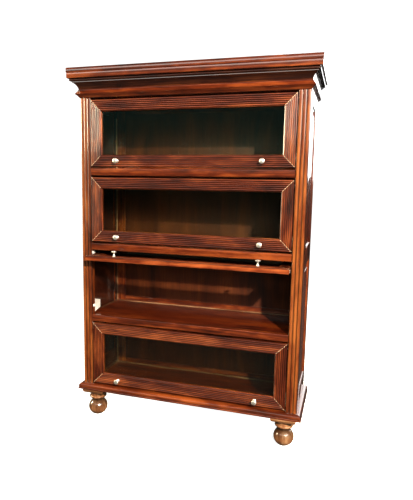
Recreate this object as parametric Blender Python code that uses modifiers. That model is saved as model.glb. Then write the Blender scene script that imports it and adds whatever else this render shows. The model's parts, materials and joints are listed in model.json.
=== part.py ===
"""A four-tier barrister bookcase in mahogany with lift-and-slide glazed doors.

Metres, +Z up. The front faces -Y and the floor is z = 0. The origin is at the bottom centre of the
whole object's box, with the third door from the top lifted and pushed back, as it stands at rest.
"""

import math

import bmesh
import bpy

# The case.
WIDTH = 0.940
DEPTH = 0.300
TIERS = 4
TIER_CLEAR = 0.285
SHELF_THICK = 0.030
SIDE_THICK = 0.020
PILASTER_WIDTH = 0.0453
PILASTER_THICK = 0.022
BOARD_THICK = 0.020
GAP = 0.0003  # left between neighbouring solids
PAST = 0.005  # how far a cutter reaches past the solid it cuts

# Levels above the floor.
PAD_BOTTOM = 0.1125
BASE_BOTTOM = 0.1260
BASE_TOP = 0.1520
CASE_CEILING = BASE_TOP + TIERS * TIER_CLEAR + (TIERS - 1) * SHELF_THICK
BEAD_TOP = 1.4165
CORNICE_TOP = 1.4770
HEIGHT = 1.4970

# Mouldings, as projections past the case.
TOP_OVERHANG = 0.0404
CORNICE_OVERHANG = 0.0390
BEAD_OVERHANG = 0.0125
BASE_OVERHANG = 0.0190
BASE_INWARD = 0.0400
BASE_ROUND = 0.0110
BASE_CHAMFER = 0.0050
BEAD_TIP = 1.3970
COVE_BOTTOM = 1.4190
COVE_TOP = 1.4430
FASCIA_BOTTOM = 1.4557

# The doors.
DOOR_HALF = 0.423
DOOR_HEIGHT = 0.271
DOOR_THICK = 0.020
DOOR_TOP_GAP = 0.007
DOOR_MEMBER = 0.0468
DOOR_REEDS = 6
REED_DEPTH = 0.0020
REED_MARGIN = 0.0006  # the flat left outside the first reed
INNER_MARGIN = 0.0014  # and inside the last one
REBATE_WIDTH = 0.0080
REBATE_FACE = 0.0117  # from the door's face to the glass's seat
GLASS_THICK = 0.004
KNOB_X = 0.302
KNOB_UP = 0.0234  # above the door's bottom edge
OPEN_DOOR = 3  # counted from the top

# The reeds of the front posts.
POST_REEDS = 3
POST_REED_DEPTH = 0.0035

# The pivot rod and the tracks its rollers run in.
PIVOT_DROP = 0.021  # below the door's top edge
SLIDE_TRAVEL = 0.185
ROD_RADIUS = 0.0030
GROOVE_RADIUS = 0.0034
ROLLER_RADIUS = 0.0045
ROLLER_START = 0.4290
ROLLER_END = 0.4465
ROLLER_EASE = 0.0006
TRACK_FRONT = 0.0048
TRACK_BACK = 0.2060
TRACK_BELOW = 0.0120  # how far the track reaches below and above the pivot line
TRACK_ABOVE = 0.0220
TRACK_WALL = 0.0015
TRACK_LIP = 0.0055  # from the pivot line to a running flange
TRACK_INSET = 0.0013  # from the post's inner edge to the flanges' edges
TRACK_RETURN = 0.0110  # width of the flange along the track's top

# The catches at the foot of each door.
CATCH_LOW = 0.008
CATCH_HIGH = 0.066
CATCH_TAIL = 0.070
CATCH_LINE = 0.038  # height of the bullet above the tier's floor
CATCH_BULLET_Y = 0.0145
BULLET_RADIUS = 0.0042
BULLET_PROUD = 0.0008  # how far the sprung tip stands out of the pilaster's edge
HOUSING_HALF = 0.0067  # half the height of the bullet's square housing
HOUSING_FRONT = 0.0070  # from the bullet's line to the housing's front
PLATE_START = 0.0240  # depth of the plate's front face
PLATE_THICK = 0.0030
CATCH_WEB = 0.0032
WEB_INSET = 0.0005  # from the post's inner edge to the web

# The side frames and the back frame.
FRONT_STILE_END = 0.065
REAR_STILE_START = 0.258
SIDE_OPENINGS = ((0.229, 0.736), (0.801, 1.346))
PANEL_THICK = 0.010
BACK_FACE = 0.282
BACK_FRAME_THICK = 0.006
BACK_SHEET_END = 0.299
BACK_STILE = 0.044
BACK_RAIL = 0.027

# The feet.
FOOT_X = 0.419
FOOT_INSET = 0.033
FOOT_PAD_HALF = 0.050
BALL_RADIUS = 0.041
BALL_HEIGHT = 0.076
NECK_RADIUS = 0.0295
RING_HEIGHT = 0.0865
RING_ROUND = 0.0065
COLLAR_RADIUS = 0.046
FOOT_FLAT = 0.011  # radius of the flat the ball stands on

HALF = WIDTH / 2
OPENING = HALF - PILASTER_WIDTH
INNER = HALF - SIDE_THICK
DOOR_LOW = PIVOT_DROP - DOOR_HEIGHT  # the door's bottom edge under its pivot
OPEN_REACH = -DOOR_LOW - DOOR_THICK / 2 - SLIDE_TRAVEL  # how far the open door stands out
FRONT = (OPEN_REACH - DEPTH) / 2
BACK = FRONT + DEPTH

FINISHES = {
    "mahogany": ((0.210, 0.040, 0.010, 1.0), 0.28, 0.0),
    "reeded_mahogany": ((0.130, 0.022, 0.008, 1.0), 0.25, 0.0),
    "panel_mahogany": ((0.150, 0.028, 0.008, 1.0), 0.35, 0.0),
    "back_board": ((0.130, 0.036, 0.010, 1.0), 0.60, 0.0),
    "glass": ((0.040, 0.060, 0.050, 0.4), 0.04, 0.0),
    "satin_nickel": ((0.720, 0.700, 0.660, 1.0), 0.25, 1.0),
    "track_steel": ((0.700, 0.700, 0.690, 1.0), 0.32, 1.0),
}


def clear_scene():
    for old in list(bpy.data.objects):
        bpy.data.objects.remove(old, do_unlink=True)


def new_collection(name):
    made = bpy.data.collections.new(name)
    bpy.context.scene.collection.children.link(made)
    return made


def finish_of(name, kind):
    """A Principled material of the sub-part's own."""
    colour, roughness, metallic = FINISHES[kind]
    made = bpy.data.materials.new(name + "_finish")
    made.use_nodes = True
    shader = made.node_tree.nodes["Principled BSDF"]
    shader.inputs["Base Color"].default_value = colour
    shader.inputs["Roughness"].default_value = roughness
    shader.inputs["Metallic"].default_value = metallic
    shader.inputs["Alpha"].default_value = colour[3]
    made.diffuse_color = colour
    return made


def part(name, mesh, kind, parent=None, location=(0, 0, 0), tilt=0.0):
    """Adds a mesh as a sub-part. The tilt is about X, in degrees."""
    made = bpy.data.objects.new(name, mesh)
    made.location = location
    made.rotation_euler = (math.radians(tilt), 0, 0)
    made.parent = parent
    mesh.materials.append(finish_of(name, kind))
    BOOKCASE.objects.link(made)
    return made


def helper(name, mesh, parent=None, location=(0, 0, 0)):
    """Adds a mesh that only cuts or joins another, and is never shown."""
    made = bpy.data.objects.new(name, mesh)
    made.location = location
    made.parent = parent
    made.hide_render = True
    made.display_type = "WIRE"
    CUTTERS.objects.link(made)
    return made


def boolean(target, other, operation="DIFFERENCE"):
    modifier = target.modifiers.new(other.name, "BOOLEAN")
    modifier.object = other
    modifier.operation = operation


def soften(target, width, segments=2):
    """Rounds the sharp edges and leaves those between the facets of an arc."""
    modifier = target.modifiers.new("eased_edges", "BEVEL")
    modifier.width = width
    modifier.segments = segments
    modifier.limit_method = "ANGLE"
    modifier.angle_limit = math.radians(50)


def round_front(target, radius, segments=3):
    """Rounds only the edges that lie in the case's front face."""
    mesh = target.data
    weights = mesh.attributes.new("bevel_weight_edge", "FLOAT", "EDGE").data
    for edge, weight in zip(mesh.edges, weights):
        ends = [mesh.vertices[i].co.y for i in edge.vertices]
        weight.value = 1.0 if max(ends) < FRONT + GAP else 0.0
    modifier = target.modifiers.new("rounded_front", "BEVEL")
    modifier.width = radius
    modifier.segments = segments
    modifier.limit_method = "WEIGHT"


def mesh_of(name, bm):
    bmesh.ops.recalc_face_normals(bm, faces=bm.faces)
    made = bpy.data.meshes.new(name)
    bm.to_mesh(made)
    bm.free()
    return made


def box(name, *corner_pairs):
    """Boxes between pairs of (low, high) corners, in one mesh."""
    bm = bmesh.new()
    for low, high in zip(corner_pairs[::2], corner_pairs[1::2]):
        cube = bmesh.ops.create_cube(bm, size=1.0)["verts"]
        bmesh.ops.scale(bm, verts=cube, vec=[abs(h - l) for l, h in zip(low, high)])
        bmesh.ops.translate(bm, verts=cube, vec=[(h + l) / 2 for l, h in zip(low, high)])
    return mesh_of(name, bm)


def prism(name, outline, axis, low, high):
    """A flat outline, as (y, z), (x, z) or (x, y) points, pushed from low to high along X, Y or Z."""
    place = {
        "X": lambda a, b: (low, a, b),
        "Y": lambda a, b: (a, low, b),
        "Z": lambda a, b: (a, b, low),
    }[axis]
    bm = bmesh.new()
    face = bm.faces.new([bm.verts.new(place(a, b)) for a, b in outline])
    pushed = bmesh.ops.extrude_face_region(bm, geom=[face])["geom"]
    step = [high - low if letter == axis else 0.0 for letter in "XYZ"]
    bmesh.ops.translate(bm, verts=[v for v in pushed if isinstance(v, bmesh.types.BMVert)], vec=step)
    return mesh_of(name, bm)


def loft(name, rings, closed):
    """Skins one ring of points to the next. An open run is capped, and a closed one meets itself."""
    bm = bmesh.new()
    loops = [[bm.verts.new(point) for point in ring] for ring in rings]
    pairs = list(zip(loops, loops[1:]))
    if closed:
        pairs.append((loops[-1], loops[0]))
    else:
        bm.faces.new(loops[0])
        bm.faces.new(loops[-1])
    for one, other in pairs:
        for i in range(len(one)):
            bm.faces.new((one[i - 1], one[i], other[i], other[i - 1]))
    return mesh_of(name, bm)


def turned(name, profile, kind, steps, **placing):
    """A profile of (radius, height) points, top to bottom, turned about its own Z."""
    bm = bmesh.new()
    points = [bm.verts.new((radius, 0, height)) for radius, height in profile]
    for one, other in zip(points, points[1:]):
        bm.edges.new((one, other))
    mesh = bpy.data.meshes.new(name)
    bm.to_mesh(mesh)
    bm.free()
    made = part(name, mesh, kind, **placing)
    screw = made.modifiers.new("turning", "SCREW")
    screw.steps = steps
    screw.render_steps = steps
    screw.use_merge_vertices = True
    screw.merge_threshold = 0.00005
    screw.use_smooth_shade = True
    return made


def arc(centre, radii, start, end, segments):
    """Points of an elliptical arc, from one angle to another, in degrees."""
    return [
        (
            centre[0] + radii[0] * math.cos(math.radians(start + (end - start) * i / segments)),
            centre[1] + radii[1] * math.sin(math.radians(start + (end - start) * i / segments)),
        )
        for i in range(segments + 1)
    ]


def reeds(start, end, count, depth, segments):
    """Side-by-side half rounds from start to end. Their crests are at 0 and the valleys at depth."""
    pitch = (end - start) / count
    points = [(start, depth)]
    for reed in range(count):
        for i in range(1, segments + 1):
            turn = math.pi * i / segments
            across = start + pitch * (reed + (1 - math.cos(turn)) / 2)
            points.append((across, depth * (1 - math.sin(turn))))
    return points


def tier_floor(tier):
    """The height of a tier's floor, with the tiers counted from the top."""
    return BASE_TOP + (TIERS - tier) * (TIER_CLEAR + SHELF_THICK)


def pivot_height(tier):
    return tier_floor(tier) + TIER_CLEAR - DOOR_TOP_GAP - PIVOT_DROP


def y_at(depth):
    """A depth behind the case's front face, as a world y."""
    return FRONT + depth


def mitred_moulding(name, profile, kind):
    """Runs a profile of (projection, height) points along the left, front and right of the case."""
    corners = ((-1, False), (-1, True), (1, True), (1, False))
    rings = [
        [(side * (HALF + out), FRONT - out if at_front else BACK, z) for out, z in profile]
        for side, at_front in corners
    ]
    return part(name, loft(name, rings, closed=False), kind)


def build_base():
    """The base moulding goes round three sides, and the bottom board fills it."""
    profile = [(-BASE_INWARD, BASE_TOP)]
    centre = (BASE_OVERHANG - BASE_ROUND, BASE_TOP - BASE_ROUND)
    profile += arc(centre, (BASE_ROUND, BASE_ROUND), 90, 0, 4)
    profile += [(BASE_OVERHANG, BASE_BOTTOM + BASE_CHAMFER)]
    profile += [(BASE_OVERHANG - BASE_CHAMFER, BASE_BOTTOM + GAP)]
    profile += [(-BASE_INWARD, BASE_BOTTOM + GAP)]
    mitred_moulding("base_moulding", profile, "mahogany")
    inside = HALF - BASE_INWARD - GAP
    board = box(
        "bottom_board",
        (-inside, y_at(BASE_INWARD) + GAP, BASE_BOTTOM + GAP),
        (inside, BACK, BASE_TOP),
    )
    soften(part("bottom_board", board, "panel_mahogany"), 0.001, 1)


def build_feet():
    """Four turned bun feet, each under a square pad."""
    under = PAD_BOTTOM + 0.001
    profile = [(0.0, under), (COLLAR_RADIUS, under)]
    profile += arc((COLLAR_RADIUS + 0.001, PAD_BOTTOM - 0.012), (0.015, 0.011), 100, 180, 3)
    profile += arc((NECK_RADIUS, RING_HEIGHT), (RING_ROUND, RING_ROUND), 70, -70, 4)
    profile += [(NECK_RADIUS - 0.002, BALL_HEIGHT + 0.001)]
    profile += arc((0.0, BALL_HEIGHT / 2), (BALL_RADIUS, BALL_HEIGHT / 2), 48, -72, 10)
    profile += [(FOOT_FLAT, 0.0), (0.0, 0.0)]
    for row, y in (("front", y_at(FOOT_INSET)), ("rear", BACK - FOOT_PAD_HALF)):
        for side, x in (("left", -FOOT_X), ("right", FOOT_X)):
            name = f"foot_{row}_{side}"
            foot = turned(name, profile, "mahogany", 24, location=(x, y, 0))
            pad = box(
                name + "_pad",
                (-FOOT_PAD_HALF, -FOOT_PAD_HALF, PAD_BOTTOM),
                (FOOT_PAD_HALF, FOOT_PAD_HALF, BASE_BOTTOM),
            )
            boolean(foot, helper(name + "_pad", pad, location=(x, y, 0)), "UNION")


def build_pilaster(word, side):
    """A reeded front post, with a notch for each track and each catch behind its face."""
    low, high = BASE_TOP + GAP, CORNICE_TOP - GAP
    face = reeds(OPENING + REED_MARGIN, HALF - REED_MARGIN, POST_REEDS, POST_REED_DEPTH, 6)
    shoulder = y_at(POST_REED_DEPTH + REED_MARGIN)
    outline = [(side * x, y_at(y)) for x, y in face]
    outline += [(side * x, y_at(PILASTER_THICK)) for x in (HALF, OPENING)]
    outline.insert(0, (side * OPENING, shoulder))
    outline.insert(len(face) + 1, (side * HALF, shoulder))
    post = part(f"pilaster_{word}", prism(f"pilaster_{word}", outline, "Z", low, high), "mahogany")
    spans = []
    for tier in range(1, TIERS + 1):
        line = pivot_height(tier)
        spans.append((TRACK_FRONT, line - TRACK_BELOW, line + TRACK_ABOVE))
        bullet = tier_floor(tier) + CATCH_LINE
        hole = HOUSING_HALF + GAP
        spans.append((CATCH_BULLET_Y - HOUSING_FRONT, bullet - hole, bullet + hole))
    corners = []
    for front, bottom, top in spans:
        corners.append((side * (OPENING - 0.001), y_at(front - GAP), bottom - GAP))
        corners.append((side * (INNER + GAP), y_at(PILASTER_THICK + 0.001), top + GAP))
    notches = helper(f"pilaster_{word}_notches", box(f"pilaster_{word}_notches", *corners))
    boolean(post, notches)


def build_side(word, side):
    """A frame-and-panel side: stiles and three rails round two sunk panels."""
    low, high = BASE_TOP + GAP, CORNICE_TOP - GAP
    front = y_at(PILASTER_THICK) + GAP
    name = f"side_frame_{word}"
    frame = box(name, (side * INNER, front, low), (side * HALF, BACK, high))
    frame = part(name, frame, "mahogany")
    corners = []
    for bottom, top in SIDE_OPENINGS:
        corners.append((side * (INNER - PAST), y_at(FRONT_STILE_END), bottom))
        corners.append((side * (HALF + PAST), y_at(REAR_STILE_START), top))
    boolean(frame, helper(name + "_openings", box(name + "_openings", *corners)))
    middle = side * (INNER + HALF) / 2
    for level, (bottom, top) in zip(("lower", "upper"), SIDE_OPENINGS):
        panel = box(
            "panel",
            (middle - PANEL_THICK / 2, y_at(FRONT_STILE_END) + GAP, bottom + GAP),
            (middle + PANEL_THICK / 2, y_at(REAR_STILE_START) - GAP, top - GAP),
        )
        part(f"side_panel_{level}_{word}", panel, "panel_mahogany")


def build_back():
    """A thin frame lines the back of each tier, over one sheet that closes the case."""
    low, high = BASE_TOP + GAP, CORNICE_TOP - GAP
    wide = INNER - GAP
    frame_end = BACK_FACE + BACK_FRAME_THICK
    frame = box("back_frame", (-wide, y_at(BACK_FACE), low), (wide, y_at(frame_end), high))
    frame = part("back_frame", frame, "mahogany")
    reach = INNER - BACK_STILE
    corners = []
    for tier in range(1, TIERS + 1):
        floor = tier_floor(tier)
        corners.append((-reach, y_at(BACK_FACE - PAST), floor + BACK_RAIL))
        corners.append((reach, y_at(frame_end + PAST), floor + TIER_CLEAR - BACK_RAIL))
    boolean(frame, helper("back_frame_openings", box("back_frame_openings", *corners)))
    sheet = box("back_panel", (-wide, y_at(frame_end) + GAP, low), (wide, y_at(BACK_SHEET_END), high))
    part("back_panel", sheet, "back_board")


def build_shelves():
    """Each shelf runs between the sides and comes forward between the pilasters."""
    behind = y_at(PILASTER_THICK) + GAP
    wide, narrow = INNER - GAP, OPENING - GAP
    left = [(-wide, y_at(BACK_FACE) - GAP), (-wide, behind), (-narrow, behind), (-narrow, FRONT)]
    outline = left + [(-x, y) for x, y in reversed(left)]
    for number in range(1, TIERS):
        top = tier_floor(number)
        shelf = prism("shelf", outline, "Z", top - SHELF_THICK, top)
        round_front(part(f"shelf_{number}", shelf, "mahogany"), 0.003)


def build_top():
    """The ceiling of the top tier, the frieze rail, the cornice's two mouldings and the top board."""
    behind = y_at(PILASTER_THICK) + GAP
    wide, narrow = INNER - GAP, OPENING - GAP
    under = CASE_CEILING + GAP
    ceiling = box(
        "ceiling_board",
        (-wide, behind, under),
        (wide, y_at(BACK_FACE) - GAP, under + BOARD_THICK),
    )
    part("ceiling_board", ceiling, "panel_mahogany")
    frieze = box(
        "frieze_rail", (-narrow, FRONT, under), (narrow, y_at(PILASTER_THICK), CORNICE_TOP - GAP)
    )
    part("frieze_rail", frieze, "mahogany")

    bead = [(GAP, under)]
    bead += arc((0.0010, BEAD_TIP), (BEAD_OVERHANG - 0.0010, BEAD_TIP - under - 0.001), -90, 0, 5)
    bead += arc((0.0035, BEAD_TIP), (BEAD_OVERHANG - 0.0035, BEAD_TOP - GAP - BEAD_TIP), 0, 90, 5)[1:]
    bead += [(GAP, BEAD_TOP - GAP)]
    mitred_moulding("cornice_bead", bead, "mahogany")

    cornice = [(GAP, BEAD_TOP), (0.0040, BEAD_TOP)]
    cornice += arc((0.0240, COVE_BOTTOM), (0.0200, COVE_TOP - COVE_BOTTOM), 180, 90, 6)
    cornice += arc((0.0265, 1.4495), (0.0065, 0.0050), -60, 40, 4)
    cornice += [(CORNICE_OVERHANG - 0.003, FASCIA_BOTTOM), (CORNICE_OVERHANG, FASCIA_BOTTOM + 0.002)]
    cornice += [(CORNICE_OVERHANG, CORNICE_TOP - GAP), (GAP, CORNICE_TOP - GAP)]
    mitred_moulding("cornice_moulding", cornice, "mahogany")

    board = box(
        "top_board",
        (-HALF - TOP_OVERHANG, FRONT - TOP_OVERHANG, CORNICE_TOP),
        (HALF + TOP_OVERHANG, BACK, HEIGHT),
    )
    soften(part("top_board", board, "mahogany"), 0.002, 2)


def build_track(tier, word, side):
    """A channel that the roller runs in, with a taller back that is screwed to the side."""
    wall = INNER - GAP
    inner = OPENING + TRACK_INSET
    web = wall - TRACK_WALL
    lip, thick = TRACK_LIP, TRACK_WALL
    profile = [
        (wall, -TRACK_BELOW),
        (wall, TRACK_ABOVE),
        (wall - TRACK_RETURN, TRACK_ABOVE),
        (wall - TRACK_RETURN, TRACK_ABOVE - thick),
        (web, TRACK_ABOVE - thick),
        (web, lip + thick),
        (inner, lip + thick),
        (inner, lip),
        (web, lip),
        (web, -lip),
        (inner, -lip),
        (inner, -lip - thick),
        (web, -lip - thick),
        (web, -TRACK_BELOW),
    ]
    outline = [(side * x, z) for x, z in profile]
    mesh = prism("track", outline, "Y", y_at(TRACK_FRONT), y_at(TRACK_BACK))
    part(f"track_{tier}_{word}", mesh, "track_steel", location=(0, 0, pivot_height(tier)))


def build_catch(tier, word, side):
    """A bullet catch: a plate behind the post, a tapered web, and a housing with its sprung tip."""
    wall = INNER - GAP
    plate = PLATE_START
    foot, head = CATCH_LOW, CATCH_HIGH
    web = [
        (y_at(plate), foot),
        (y_at(CATCH_TAIL), foot + 0.010),
        (y_at(CATCH_TAIL), head - 0.013),
        (y_at(plate), head),
    ]
    name = f"catch_{tier}_{word}"
    at = (0, 0, tier_floor(tier))
    inner = OPENING + WEB_INSET
    made = prism(name, web, "X", side * inner, side * (inner + CATCH_WEB))
    made = part(name, made, "satin_nickel", location=at)
    face = box(
        name + "_plate",
        (side * inner, y_at(plate), foot),
        (side * wall, y_at(plate + PLATE_THICK), head),
    )
    boolean(made, helper(name + "_plate", face, location=at), "UNION")
    housing = box(
        name + "_housing",
        (side * (OPENING + 0.0023), y_at(CATCH_BULLET_Y - HOUSING_FRONT), CATCH_LINE - HOUSING_HALF),
        (side * (wall - 0.0010), y_at(plate + PLATE_THICK / 2), CATCH_LINE + HOUSING_HALF),
    )
    boolean(made, helper(name + "_housing", housing, location=at), "UNION")
    bm = bmesh.new()
    ball = bmesh.ops.create_uvsphere(bm, u_segments=12, v_segments=8, radius=BULLET_RADIUS)["verts"]
    sunk = side * (OPENING - BULLET_PROUD + BULLET_RADIUS)
    bmesh.ops.translate(bm, verts=ball, vec=(sunk, y_at(CATCH_BULLET_Y), CATCH_LINE))
    tip = helper(name + "_tip", mesh_of(name + "_tip", bm), location=at)
    boolean(made, tip, "UNION")


def door_frame_mesh():
    """Four mitred, reeded members with a rebate for the glass, in the frame of the door's pivot."""
    face, back = -DOOR_THICK / 2, DOOR_THICK / 2
    seat = DOOR_MEMBER - REBATE_WIDTH
    profile = [(0.0, face + REED_DEPTH + REED_MARGIN)]
    rounds = reeds(REED_MARGIN, DOOR_MEMBER - INNER_MARGIN, DOOR_REEDS, REED_DEPTH, 4)
    profile += [(inward, face + y) for inward, y in rounds]
    profile += [(DOOR_MEMBER, face + REED_DEPTH + INNER_MARGIN), (DOOR_MEMBER, face + REBATE_FACE)]
    profile += [(seat, face + REBATE_FACE), (seat, back), (0.0, back)]
    corners = ((-1, False), (-1, True), (1, True), (1, False))
    rings = [
        [
            (side * (DOOR_HALF - inward), y, PIVOT_DROP - inward if at_top else DOOR_LOW + inward)
            for inward, y in profile
        ]
        for side, at_top in corners
    ]
    return loft("door_frame", rings, closed=True)


def build_knob(name, pivot, x):
    """A mushroom knob on a flared base. Its own +Z points out of the door's face."""
    profile = [(0.0, 0.0250)]
    profile += arc((0.0, 0.0205), (0.0108, 0.0045), 70, 0, 4)
    profile += [(0.0104, 0.0186), (0.0088, 0.0174), (0.0046, 0.0158), (0.0034, 0.0125)]
    profile += [(0.0036, 0.0085), (0.0052, 0.0050), (0.0078, 0.0026), (0.0082, GAP), (0.0, GAP)]
    place = (x, -DOOR_THICK / 2, DOOR_LOW + KNOB_UP)
    turned(name, profile, "satin_nickel", 16, parent=pivot, location=place, tilt=90)


def build_rod(tier, place):
    """The pivot rod lies along X. A roller at each end runs in the track."""
    half = [
        (0.0, ROLLER_END),
        (ROLLER_RADIUS - ROLLER_EASE, ROLLER_END),
        (ROLLER_RADIUS, ROLLER_END - ROLLER_EASE),
        (ROLLER_RADIUS, ROLLER_START + ROLLER_EASE),
        (ROLLER_RADIUS - ROLLER_EASE, ROLLER_START),
        (ROD_RADIUS, ROLLER_START),
    ]
    profile = half + [(radius, -along) for radius, along in reversed(half)]
    rod = turned(f"pivot_rod_{tier}", profile, "track_steel", 12, location=place)
    rod.rotation_euler = (0, math.radians(90), 0)


def build_door(tier):
    """A glazed door hung on its pivot rod. It lifts to level, and then slides back over the tier."""
    is_open = tier == OPEN_DOOR
    travelled = SLIDE_TRAVEL if is_open else 0.0
    pivot = bpy.data.objects.new(f"door_{tier}_pivot", None)
    pivot.location = (0, y_at(DOOR_THICK / 2 + travelled), pivot_height(tier))
    pivot.rotation_euler = (math.radians(-90 if is_open else 0), 0, 0)
    BOOKCASE.objects.link(pivot)

    frame = part(f"door_{tier}_frame", door_frame_mesh(), "reeded_mahogany", parent=pivot)
    groove = arc((0.0, 0.0), (GROOVE_RADIUS, GROOVE_RADIUS), 90, 270, 8)
    groove = [(y, z) for y, z in groove] + [(DOOR_THICK, -GROOVE_RADIUS), (DOOR_THICK, GROOVE_RADIUS)]
    groove = prism("groove", groove, "X", -DOOR_HALF - PAST, DOOR_HALF + PAST)
    boolean(frame, helper(f"door_{tier}_groove", groove, parent=pivot))

    edge = DOOR_MEMBER - REBATE_WIDTH + 0.0005
    seat = REBATE_FACE - DOOR_THICK / 2 + GAP
    pane = box(
        "pane",
        (edge - DOOR_HALF, seat, DOOR_LOW + edge),
        (DOOR_HALF - edge, seat + GLASS_THICK, PIVOT_DROP - edge),
    )
    part(f"door_{tier}_glass", pane, "glass", parent=pivot)
    build_knob(f"door_{tier}_knob_left", pivot, -KNOB_X)
    build_knob(f"door_{tier}_knob_right", pivot, KNOB_X)
    build_rod(tier, pivot.location)


clear_scene()
BOOKCASE = new_collection("barrister_bookcase")
CUTTERS = new_collection("cutters")

build_feet()
build_base()
build_back()
build_shelves()
build_top()
for side_word, side_sign in (("left", -1), ("right", 1)):
    build_pilaster(side_word, side_sign)
    build_side(side_word, side_sign)
    for tier_number in range(1, TIERS + 1):
        build_track(tier_number, side_word, side_sign)
        build_catch(tier_number, side_word, side_sign)
for tier_number in range(1, TIERS + 1):
    build_door(tier_number)
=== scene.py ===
"""The looks of a four-tier barrister bookcase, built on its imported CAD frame.

Metres, +Z up, the front faces -Y. Each wooden member is its own piece, with its grain along its length.
"""
import json
import math
import random

import bmesh
import bpy
from mathutils import Matrix, Vector


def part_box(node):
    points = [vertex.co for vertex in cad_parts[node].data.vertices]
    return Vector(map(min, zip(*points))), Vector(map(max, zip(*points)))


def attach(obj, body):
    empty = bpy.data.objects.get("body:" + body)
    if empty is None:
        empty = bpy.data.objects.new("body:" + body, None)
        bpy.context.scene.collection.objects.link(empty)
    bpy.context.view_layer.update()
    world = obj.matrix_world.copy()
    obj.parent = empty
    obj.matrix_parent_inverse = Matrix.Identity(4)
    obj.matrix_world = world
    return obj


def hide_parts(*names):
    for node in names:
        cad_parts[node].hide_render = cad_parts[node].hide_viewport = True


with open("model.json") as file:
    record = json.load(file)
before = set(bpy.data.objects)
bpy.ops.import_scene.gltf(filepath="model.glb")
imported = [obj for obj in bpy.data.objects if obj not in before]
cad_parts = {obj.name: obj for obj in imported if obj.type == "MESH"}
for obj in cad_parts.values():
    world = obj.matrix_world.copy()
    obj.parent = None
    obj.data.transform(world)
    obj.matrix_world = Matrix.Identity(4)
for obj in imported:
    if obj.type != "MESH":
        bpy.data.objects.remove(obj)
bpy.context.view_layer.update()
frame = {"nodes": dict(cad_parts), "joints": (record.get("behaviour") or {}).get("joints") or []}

# ---------------------------------------------------------------- places, read from the frame
CASE = "case"
TIERS = (1, 2, 3, 4)
SIDES = (("left", -1), ("right", 1))
JOINTS = {joint["name"]: joint for joint in frame["joints"]}

POST_LOW, POST_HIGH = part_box("pilaster_right")
OPENING = POST_LOW.x  # half the width between the posts
HALF = POST_HIGH.x
FRONT = POST_LOW.y
POST_BACK = POST_HIGH.y
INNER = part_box("side_frame_right")[0].x  # the sides' inner faces
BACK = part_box("side_frame_right")[1].y
BACK_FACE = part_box("back_frame")[0].y

CLOSED_LOW, CLOSED_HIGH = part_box("door_1_frame")
DOOR_HALF = CLOSED_HIGH.x
DOOR_THICK = CLOSED_HIGH.y - CLOSED_LOW.y
DOOR_TOP = CLOSED_HIGH.z - JOINTS["door_1_lift"]["pos_m"][2]  # above the pivot
DOOR_LOW = CLOSED_LOW.z - JOINTS["door_1_lift"]["pos_m"][2]
FACE = -DOOR_THICK / 2  # of a door, in front of its pivot
PANE_LOW, PANE_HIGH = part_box("door_1_glass")
KNOB_X = (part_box("door_1_knob_right")[0].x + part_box("door_1_knob_right")[1].x) / 2

# ---------------------------------------------------------------- sizes of the joinery and fittings
GAP = 0.0003
HAIRLINE = 0.00015  # half of the joint line left between two members
MITRE_GLINT = 0.0020  # how far the painted highlight reaches either side of a door's mitre
REED_DEPTH = 0.0027
POST_REED_DEPTH = 0.0035
MEMBER = 0.0468  # the width of a door's stiles and rails
REBATE = 0.0080
PANE_SEAT = PANE_LOW.y - CLOSED_LOW.y - GAP
LIP_ROUND = 0.0045
BACK_STILE = 0.044
BACK_RAIL = 0.027
CEILING_ABOVE_PIVOT = 0.028
BEAD_LEG = 0.0048
BEAD_DROP = 0.016  # from the pivot down to the corner beads' tops
PAD_THICK = 0.0135
BALL_RADIUS = 0.041
BALL_TALL = 0.076

KNOB_UP = 0.0234  # above a door's bottom edge
ROD_RADIUS = 0.0030
ROD_GROOVE = 0.0034
ROLLER_START = 0.4290
CLIP_X = 0.360
CATCH_LINE = 0.038  # the sprung tip, above the tier's floor
CATCH_HOLE = 0.0070
CATCH_DEPTH = 0.0430  # from the plate's back face to the back of the catch
CATCH_SCREWS = (0.4390, (0.018, 0.056))  # off the middle, and above the tier's floor
TRACK_SCREW_UP = 0.0135  # above the pivot
TRACK_SCREW_SHARES = (0.14, 0.5, 0.9)  # of the track's length
NOSE_PLATE = (0.0002, 0.0012)  # its two faces, behind the post's inner edge
NOSE_OUTLINE = (  # behind the track's front end, and above the pivot
    (0.0, 0.0080), (0.0190, 0.0080), (0.0290, 0.0128), (0.0290, 0.0158), (0.0190, 0.0216), (0.0, 0.0216),
)

INNER_SHADE = 0.90  # how much painted shade a face inside the case takes, on the scale of the painted shade in a groove
# The pale bare-wood colour of the painted highlight at the door mitres.
GLINT_COLOUR = (0.88, 0.68, 0.46, 1.0)


def tier_floor(tier):
    """The height of a tier's floor. The tiers are numbered from the top."""
    if tier == len(TIERS):
        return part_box("bottom_board")[1].z
    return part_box(f"shelf_{tier}")[1].z


DOOR_FOOT_GAP = CLOSED_LOW.z - tier_floor(1)


def pivot_of(tier):
    """The matrix of a door's pivot at rest: upright for a closed door, tipped for the open one."""
    lift = JOINTS[f"door_{tier}_lift"]
    turned_up = -90 if lift["range_deg"][0] < -1 else 0
    return Matrix.Translation(lift["pos_m"]) @ Matrix.Rotation(math.radians(turned_up), 4, "X")


def pivot_height(tier):
    """The height of the rod that a tier's door turns on."""
    return JOINTS[f"door_{tier}_lift"]["pos_m"][2]


# ---------------------------------------------------------------- mesh helpers
def loft(rings):
    """Skins one ring of points to the next, and caps both ends."""
    bm = bmesh.new()
    loops = [[bm.verts.new(point) for point in ring] for ring in rings]
    bm.faces.new(loops[0])
    bm.faces.new(loops[-1])
    for one, other in zip(loops, loops[1:]):
        for i in range(len(one)):
            bm.faces.new((one[i - 1], one[i], other[i], other[i - 1]))
    bmesh.ops.recalc_face_normals(bm, faces=bm.faces)
    return bm


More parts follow.
